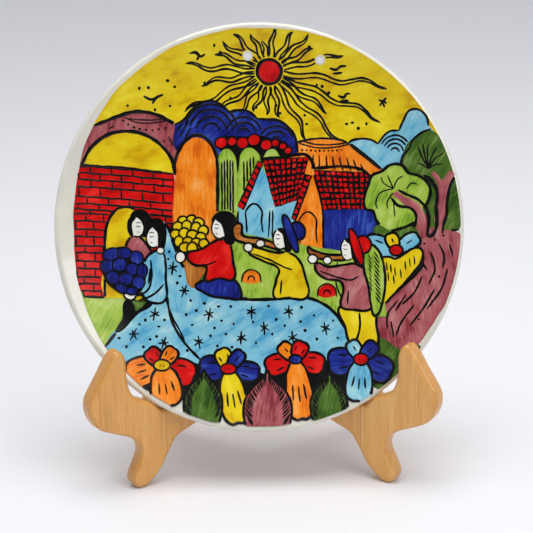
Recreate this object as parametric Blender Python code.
"""A glazed coupe plate on a two-piece interlocking wooden plate stand.

The stand is two flat hardwood boards cut to one outline. Each is glued up edge to edge from four upright
staves, and the two cross behind the plate in a half-lap, so that they stand as a shallow X on four feet.
The plate's rim rests in the boards' two seats, behind the hooks, and its back leans on their two arms.

World frame: +X to the viewer's right, +Y away from the viewer, +Z up, metres, standing on Z = 0.
A board's own frame: X along the board towards its hook, Y through its thickness, Z up, X = 0 at the crossing.
The plate's own frame: its origin in the middle of the rim's plane, Y up its face, Z out of its face.
"""

from math import cos, pi, radians, sin, sqrt

import bmesh
import bpy
from mathutils import Vector
from mathutils.geometry import interpolate_bezier

MM = 0.001

# Plate
PLATE_RADIUS = 100 * MM
PLATE_LEAN = radians(16)
WELL_RADIUS = 50 * MM
WELL_DEPTH = 11 * MM
WELL_THICKNESS = 4.6 * MM
RIM_THICKNESS = 4.0 * MM
FOOT_RING_RADIUS = 57 * MM
FOOT_RING_WIDTH = 5 * MM
FOOT_RING_HEIGHT = 2 * MM
FOOT_RING_DRAFT = 1.2 * MM
HOLE_RADIUS = 1.6 * MM
HOLE_INSET = 16.3 * MM
HOLE_SPACING = 35.5 * MM
HOLE_TURN = radians(9.5)
HOLE_TILT = radians(4.7)
PLATE_STEPS = 72
COUPE_STEPS = 6
LIP_STEPS = 5
LIP_WRAP = radians(155)
HOLE_STEPS = 16

# Boards. The angle is between each board and the viewer's left-to-right.
BOARD_THICKNESS = 9 * MM
BOARD_ANGLE = radians(32)
EDGE_ROUND = 2.5 * MM
EDGE_SEGMENTS = 2
STAVE_WIDTH = 45 * MM
FIRST_SEAM = 59 * MM
GLUE_GAP = 0.3 * MM
LAP_HEIGHT = 70 * MM
LAP_CLEARANCE = 0.35 * MM

# Seats, hooks and arms. The seat height is that of the plate's rim, a setback behind the hook's inner side.
SEAT_HEIGHT = 49 * MM
SEAT_SETBACK = 6 * MM
HOOK_INNER = 79 * MM
HOOK_CLEARANCE = 1.4 * MM
ARM_ABOVE_CENTRE = 24 * MM
ARM_WIDTH = 25 * MM
ARM_CROWN = 8.3 * MM
ARM_SLOPE = 3.1 * MM
REST_GAP = 0.35 * MM
RING_CLEARANCE = 0.8 * MM

# Legs
FOOT_REACH = 73 * MM
FOOT_LENGTH = 5 * MM
BELLY_DROP = 23 * MM
ARCH_HEIGHT = 37 * MM

# Outline of a leg: along the board from the foot's middle, and the share of the belly's height
LEG_OUTER = ((5.4 * MM, 0.19), (3.0 * MM, 0.44), (-0.1 * MM, 0.76))
LEG_INNER = ((-10.5 * MM, 0.27), (-16.0 * MM, 0.62), (-22.2 * MM, 0.90))

# Outline of a hook: along the board from its inner side, and up from the seat
HOOK_OUTER = (
    (-2.4 * MM, -22.6 * MM),
    (9.0 * MM, -17.3 * MM),
    (16.4 * MM, -13.4 * MM),
    (20.8 * MM, -6.5 * MM),
    (21.4 * MM, 1.0 * MM),
    (17.8 * MM, 7.6 * MM),
    (13.6 * MM, 13.8 * MM),
    (9.6 * MM, 20.2 * MM),
)
HOOK_TOP = (4.6 * MM, 24.6 * MM)
HOOK_BACK = ((0.4 * MM, 19.6 * MM), (0.0 * MM, 9.0 * MM))

# Outline of a seat and an arm: how far the floor dips, and shares of the way up to the foot ring and the nose
SEAT_DIP = 12 * MM
SEAT_SPANS = 3
THROAT_SHARES = (0.0, 0.35, 1.0, 1.25)
ARM_SHARES = (0.5, 1.0)

# Outline of a board's rear edge: along the board from its spine, and the share of the way up to the nose
SPINE_BEHIND_NOSE = 19.2 * MM
REAR_EDGE = (
    (-1.5 * MM, 0.73),
    (0.5 * MM, 0.48),
    (-6.0 * MM, 0.29),
    (-18.0 * MM, 0.16),
    (-27.5 * MM, 0.065),
)
SPAN_STEPS = 3
SHARP_ANGLE = radians(40)
BEVEL_ANGLE = radians(60)
BISECTIONS = 40
MARGIN = 20 * MM

PLATE_COLOUR = (0.86, 0.85, 0.76, 1.0)
GLAZE_ROUGHNESS = 0.15
WOOD_COLOUR = (0.68, 0.40, 0.17, 1.0)
LACQUER_ROUGHNESS = 0.28


# The plate's form and place

def face_depth(radius):
    """Depth of the plate's face behind its rim's plane: flat in the well, then a parabola up to the lip."""
    rise = (radius - WELL_RADIUS) / (PLATE_RADIUS - RIM_THICKNESS / 2 - WELL_RADIUS)
    return WELL_DEPTH * (1 - min(1.0, max(0.0, rise)) ** 2)


def back_depth(radius):
    """Depth of the plate's back behind its rim's plane, without the foot ring."""
    outward = min(1.0, radius / PLATE_RADIUS)
    return face_depth(radius) + WELL_THICKNESS + (RIM_THICKNESS - WELL_THICKNESS) * outward


def ring_depth():
    """Depth of the face that the plate would stand on."""
    return back_depth(FOOT_RING_RADIUS) + FOOT_RING_HEIGHT


def ring_span():
    """Inner and outer radius of the foot ring where it meets the back."""
    half = FOOT_RING_WIDTH / 2 + FOOT_RING_DRAFT
    return FOOT_RING_RADIUS - half, FOOT_RING_RADIUS + half


def plate_centre():
    """Place of the plate's origin from the crossing, so that its rim meets both seats behind the hooks."""
    seat_x = (HOOK_INNER - SEAT_SETBACK) * cos(BOARD_ANGLE)
    hook_back = BOARD_THICKNESS / 2 * cos(BOARD_ANGLE) - HOOK_INNER * sin(BOARD_ANGLE)
    drop = sqrt(PLATE_RADIUS ** 2 - seat_x ** 2)
    y = hook_back + HOOK_CLEARANCE + drop * sin(PLATE_LEAN)
    return Vector((0.0, y, SEAT_HEIGHT + drop * cos(PLATE_LEAN)))


def board_point(along, across, height):
    """Place from the crossing of a point of the right-hand board."""
    x = along * cos(BOARD_ANGLE) + across * sin(BOARD_ANGLE)
    y = across * cos(BOARD_ANGLE) - along * sin(BOARD_ANGLE)
    return Vector((x, y, height))


def plate_coordinates(point):
    """Distance of a point from the plate's axis, and its depth behind the rim's plane."""
    offset = point - plate_centre()
    up = offset.y * sin(PLATE_LEAN) + offset.z * cos(PLATE_LEAN)
    depth = offset.y * cos(PLATE_LEAN) - offset.z * sin(PLATE_LEAN)
    return sqrt(offset.x ** 2 + up ** 2), depth


def behind_plate(along, height):
    """True if the board's whole thickness at this place clears the plate's back."""
    ring_inner, ring_outer = ring_span()
    for across in (-BOARD_THICKNESS / 2, 0.0, BOARD_THICKNESS / 2):
        radius, depth = plate_coordinates(board_point(along, across, height))
        limit = back_depth(radius) + REST_GAP
        if ring_inner - RING_CLEARANCE < radius < ring_outer + RING_CLEARANCE:
            limit = ring_depth() + RING_CLEARANCE
        if depth < limit:
            return False
    return True


def arm_front(height):
    """The furthest forward that a board may reach at this height and still be behind the plate."""
    rear, front = -2 * PLATE_RADIUS, HOOK_INNER
    for _ in range(BISECTIONS):
        middle = (rear + front) / 2
        if behind_plate(middle, height):
            rear = middle
        else:
            front = middle
    return rear


def seat_floor(along):
    """Height of a seat's floor at this place: a rest gap below the lowest edge of the plate's rim."""
    centre = plate_centre()
    heights = []
    for across in (-BOARD_THICKNESS / 2, 0.0, BOARD_THICKNESS / 2):
        point = board_point(along, across, 0.0)
        drop = sqrt(PLATE_RADIUS ** 2 - point.x ** 2)
        depth = (point.y - centre.y + drop * sin(PLATE_LEAN)) / cos(PLATE_LEAN)
        depth = min(RIM_THICKNESS, max(0.0, depth))
        heights.append(centre.z - drop * cos(PLATE_LEAN) - depth * sin(PLATE_LEAN))
    return min(heights) - REST_GAP


# Outline of a board

def seat_and_arm_knots():
    """Knots from a seat's front corner back along its floor, and up the arm behind the plate to its nose.

    The arm never reaches forward again above the plate's foot ring.
    """
    front = HOOK_INNER - SEAT_SETBACK / 2
    rear = arm_front(SEAT_HEIGHT - SEAT_DIP)
    floor = [front + (rear - front) * step / SEAT_SPANS for step in range(SEAT_SPANS + 1)]
    knots = [(along, seat_floor(along)) for along in floor]
    ring_low = plate_centre().z - ring_span()[1] * cos(PLATE_LEAN)
    nose = plate_centre().z + ARM_ABOVE_CENTRE
    heights = [SEAT_HEIGHT + (ring_low - SEAT_HEIGHT) * share for share in THROAT_SHARES]
    heights += [ring_low + (nose - ring_low) * share for share in ARM_SHARES]
    for height in heights:
        knots.append((min(knots[-1][0], arm_front(height)), height))
    return knots


def board_stretches():
    """The two curved stretches of the outline, each as its knots: over the top, and under the arch.

    Straight feet join them. Both run the same way round, from the front foot over the hook and the arm to
    the rear foot, and back through the arch.
    """
    belly = SEAT_HEIGHT - BELLY_DROP
    toe = FOOT_REACH + FOOT_LENGTH / 2
    heel = FOOT_REACH - FOOT_LENGTH / 2
    outer_leg = [(FOOT_REACH + along, belly * share) for along, share in LEG_OUTER]
    inner_leg = [(FOOT_REACH + along, belly * share) for along, share in LEG_INNER]
    hook = [(HOOK_INNER + along, SEAT_HEIGHT + up) for along, up in (*HOOK_OUTER, HOOK_TOP, *HOOK_BACK)]
    arm = seat_and_arm_knots()
    nose_along, nose = arm[-1]
    crown = [(nose_along - ARM_WIDTH / 2, nose + ARM_CROWN), (nose_along - ARM_WIDTH, nose - ARM_SLOPE)]
    spine = nose_along - SPINE_BEHIND_NOSE
    rear = [(spine + along, belly + (nose - belly) * share) for along, share in REAR_EDGE]
    rear_leg = [(-along, height) for along, height in reversed(outer_leg)]
    arch = [(-along, height) for along, height in inner_leg] + [(0.0, ARCH_HEIGHT)] + inner_leg[::-1]
    over = [(toe, 0.0)] + outer_leg + hook + arm + crown + rear + rear_leg + [(-toe, 0.0)]
    return over, [(-heel, 0.0)] + arch + [(heel, 0.0)]


def smooth_curve(knots):
    """Points of a curve through the knots, whose tangent at each runs parallel to its neighbours' chord."""
    places = [Vector((along, 0.0, height)) for along, height in knots]
    last = len(places) - 1
    tangents = [(places[min(i + 1, last)] - places[max(i - 1, 0)]).normalized() for i in range(last + 1)]
    points = []
    for i in range(last):
        reach = (places[i + 1] - places[i]).length / 3
        handle, next_handle = places[i] + tangents[i] * reach, places[i + 1] - tangents[i + 1] * reach
        points += interpolate_bezier(places[i], handle, next_handle, places[i + 1], SPAN_STEPS + 1)[:-1]
    return points + [places[last]]


# Making objects

def clear_scene():
    """Removes every object from the scene."""
    for item in list(bpy.data.objects):
        bpy.data.objects.remove(item, do_unlink=True)


def make_material(name, colour, roughness):
    """A plain non-metallic material."""
    material = bpy.data.materials.new(name)
    material.use_nodes = True
    shader = material.node_tree.nodes["Principled BSDF"]
    shader.inputs["Base Color"].default_value = colour
    shader.inputs["Roughness"].default_value = roughness
    shader.inputs["Metallic"].default_value = 0.0
    return material


def make_empty(name, parent, location, turn=0.0):
    """A guide that pieces hang on, turned about the vertical."""
    empty = bpy.data.objects.new(name, None)
    bpy.context.scene.collection.objects.link(empty)
    empty.parent = parent
    empty.location = location
    empty.rotation_euler = (0.0, 0.0, turn)
    return empty


def make_object(name, mesh, parent, material=None):
    """A piece with its own material, or a wire-drawn cutter when it has none."""
    item = bpy.data.objects.new(name, mesh)
    bpy.context.scene.collection.objects.link(item)
    item.parent = parent
    if material is None:
        item.hide_render = True
        item.display_type = "WIRE"
    else:
        item.data.materials.append(material)
    return item


def cut(item, cutter, operation="DIFFERENCE"):
    """Adds an exact Boolean with the cutter."""
    boolean = item.modifiers.new(cutter.name, "BOOLEAN")
    boolean.operation = operation
    boolean.solver = "EXACT"
    boolean.object = cutter


def finish_mesh(name, work):
    """Turns the working mesh into a mesh with outward faces, smooth except at sharp edges."""
    bmesh.ops.recalc_face_normals(work, faces=work.faces)
    mesh = bpy.data.meshes.new(name)
    work.to_mesh(mesh)
    work.free()
    mesh.shade_smooth()
    mesh.set_sharp_from_angle(angle=SHARP_ANGLE)
    return mesh


def box_mesh(name, low, high):
    """A box between two corners."""
    work = bmesh.new()
    bmesh.ops.create_cube(work, size=1.0)
    for vertex in work.verts:
        vertex.co = Vector([high[i] if vertex.co[i] > 0 else low[i] for i in range(3)])
    return finish_mesh(name, work)


# The boards

def board_mesh(name):
    """A whole board: its outline through the board's thickness."""
    over, under = (smooth_curve(stretch) for stretch in board_stretches())
    work = bmesh.new()
    shift = Vector((0.0, -BOARD_THICKNESS / 2, 0.0))
    face = work.faces.new([work.verts.new(point + shift) for point in over + under])
    grown = bmesh.ops.extrude_face_region(work, geom=[face])
    corners = [item for item in grown["geom"] if isinstance(item, bmesh.types.BMVert)]
    bmesh.ops.translate(work, verts=corners, vec=(0.0, BOARD_THICKNESS, 0.0))
    return finish_mesh(name, work)


def stave_spans():
    """Where each stave starts and ends along the board, from the hook's back to the rear leg's."""
    seams = [FIRST_SEAM - index * STAVE_WIDTH for index in range(3)]
    reach = HOOK_INNER + PLATE_RADIUS
    ends = [reach] + [seam - GLUE_GAP / 2 for seam in seams]
    starts = [seam + GLUE_GAP / 2 for seam in seams] + [-reach]
    return zip(("hook", "seat", "arm", "rear_leg"), starts, ends)


def make_board(side, guide, lap_bottom, lap_top):
    """A board's four staves, each cut from the outline and then from the half-lap with the other board."""
    outline = board_mesh(f"{side}_board_outline")
    half = BOARD_THICKNESS / 2 + MARGIN
    ceiling = plate_centre().z + PLATE_RADIUS
    slot_half = BOARD_THICKNESS / 2 + LAP_CLEARANCE
    slot_reach = 2 * BOARD_THICKNESS
    slot = box_mesh("slot", (-slot_half, -slot_reach, lap_bottom), (slot_half, slot_reach, lap_top))
    lap = make_object(f"{side}_lap_cutter", slot, guide)
    other_turn = 2 * BOARD_ANGLE if side == "right" else -2 * BOARD_ANGLE
    lap.rotation_euler = (0.0, 0.0, other_turn + pi / 2)
    for name, start, end in stave_spans():
        wood = make_material(f"{side}_{name}_wood", WOOD_COLOUR, LACQUER_ROUGHNESS)
        stave = make_object(f"{side}_{name}_stave", outline.copy(), guide, wood)
        bevel = stave.modifiers.new("edge_round", "BEVEL")
        bevel.width = EDGE_ROUND
        bevel.segments = EDGE_SEGMENTS
        bevel.limit_method = "ANGLE"
        bevel.angle_limit = BEVEL_ANGLE
        bevel.use_clamp_overlap = False
        span = box_mesh("span", (start, -half, -MARGIN), (end, half, ceiling))
        cut(stave, make_object(f"{side}_{name}_span", span, guide), "INTERSECT")
        if start < slot_reach and end > -slot_reach:
            cut(stave, lap)


# The plate

def plate_profile():
    """The plate's section from the middle of its face over the lip to the middle of its back."""
    half = RIM_THICKNESS / 2
    lip = PLATE_RADIUS - half
    points = [(0.0, -WELL_DEPTH), (WELL_RADIUS, -WELL_DEPTH)]
    for step in range(1, COUPE_STEPS + 1):
        radius = WELL_RADIUS + (lip - WELL_RADIUS) * step / COUPE_STEPS
        points.append((radius, -face_depth(radius)))
    for step in range(1, LIP_STEPS + 1):
        angle = pi / 2 - LIP_WRAP * step / LIP_STEPS
        points.append((lip + half * cos(angle), half * sin(angle) - half))
    ring_inner, ring_outer = ring_span()
    for step in range(1, COUPE_STEPS):
        radius = lip + (ring_outer - lip) * step / (COUPE_STEPS - 1)
        points.append((radius, -back_depth(radius)))
    foot = -ring_depth()
    points.append((ring_outer - FOOT_RING_DRAFT, foot))
    points.append((ring_inner + FOOT_RING_DRAFT, foot))
    points.append((ring_inner, -back_depth(ring_inner)))
    points.append((0.0, -back_depth(0.0)))
    return [Vector((radius, 0.0, height)) for radius, height in points]


def hole_places():
    """Where the two hanging holes are in the plate's frame: a pair turned and tilted clockwise."""
    radius = PLATE_RADIUS - HOLE_INSET
    right, up = radius * sin(HOLE_TURN), radius * cos(HOLE_TURN)
    places = []
    for side in (-1, 1):
        reach = side * HOLE_SPACING / 2
        places.append((right + reach * cos(HOLE_TILT), up - reach * sin(HOLE_TILT)))
    return places


def make_plate(guide):
    """The plate, turned from its section and pierced by its two hanging holes."""
    work = bmesh.new()
    section = [work.verts.new(point) for point in plate_profile()]
    edges = [work.edges.new(pair) for pair in zip(section, section[1:])]
    bmesh.ops.spin(work, geom=section + edges, cent=(0, 0, 0), axis=(0, 0, 1), angle=2 * pi,
                   steps=PLATE_STEPS)
    bmesh.ops.remove_doubles(work, verts=work.verts, dist=1e-6)
    glaze = make_material("plate_glaze", PLATE_COLOUR, GLAZE_ROUGHNESS)
    plate = make_object("plate", finish_mesh("plate", work), guide, glaze)
    for index, (right, up) in enumerate(hole_places()):
        drill = bmesh.new()
        bmesh.ops.create_cone(drill, cap_ends=True, segments=HOLE_STEPS, radius1=HOLE_RADIUS,
                              radius2=HOLE_RADIUS, depth=2 * MARGIN)
        cutter = make_object(f"hole_cutter_{index + 1}", finish_mesh("drill", drill), guide)
        cutter.location = (right, up, -face_depth(sqrt(right ** 2 + up ** 2)))
        cut(plate, cutter)


def middle_of_depth():
    """World Y of the middle of all the pieces' common extent from front to back."""
    view = bpy.context.evaluated_depsgraph_get()
    depths = []
    for item in bpy.context.scene.objects:
        if item.type == "MESH" and not item.hide_render:
            shape = item.evaluated_get(view).to_mesh()
            depths += [(item.matrix_world @ vertex.co).y for vertex in shape.vertices]
    return (min(depths) + max(depths)) / 2


def main():
    """Builds the stand and the plate, and stands them over the origin."""
    clear_scene()
    stand = make_empty("stand", None, (0.0, 0.0, 0.0))
    right = make_empty("right_board_guide", stand, (0.0, 0.0, 0.0), -BOARD_ANGLE)
    left = make_empty("left_board_lift", stand, (0.0, 0.0, 0.0), pi + BOARD_ANGLE)
    rest = make_empty("plate_lift", stand, plate_centre())
    rest.rotation_euler = (pi / 2 - PLATE_LEAN, 0.0, 0.0)
    above = plate_centre().z + PLATE_RADIUS
    make_board("right", right, LAP_HEIGHT - LAP_CLEARANCE / 2, above)
    make_board("left", left, -MARGIN, LAP_HEIGHT + LAP_CLEARANCE / 2)
    make_plate(rest)
    bpy.context.view_layer.update()
    stand.location.y = -middle_of_depth()


main()
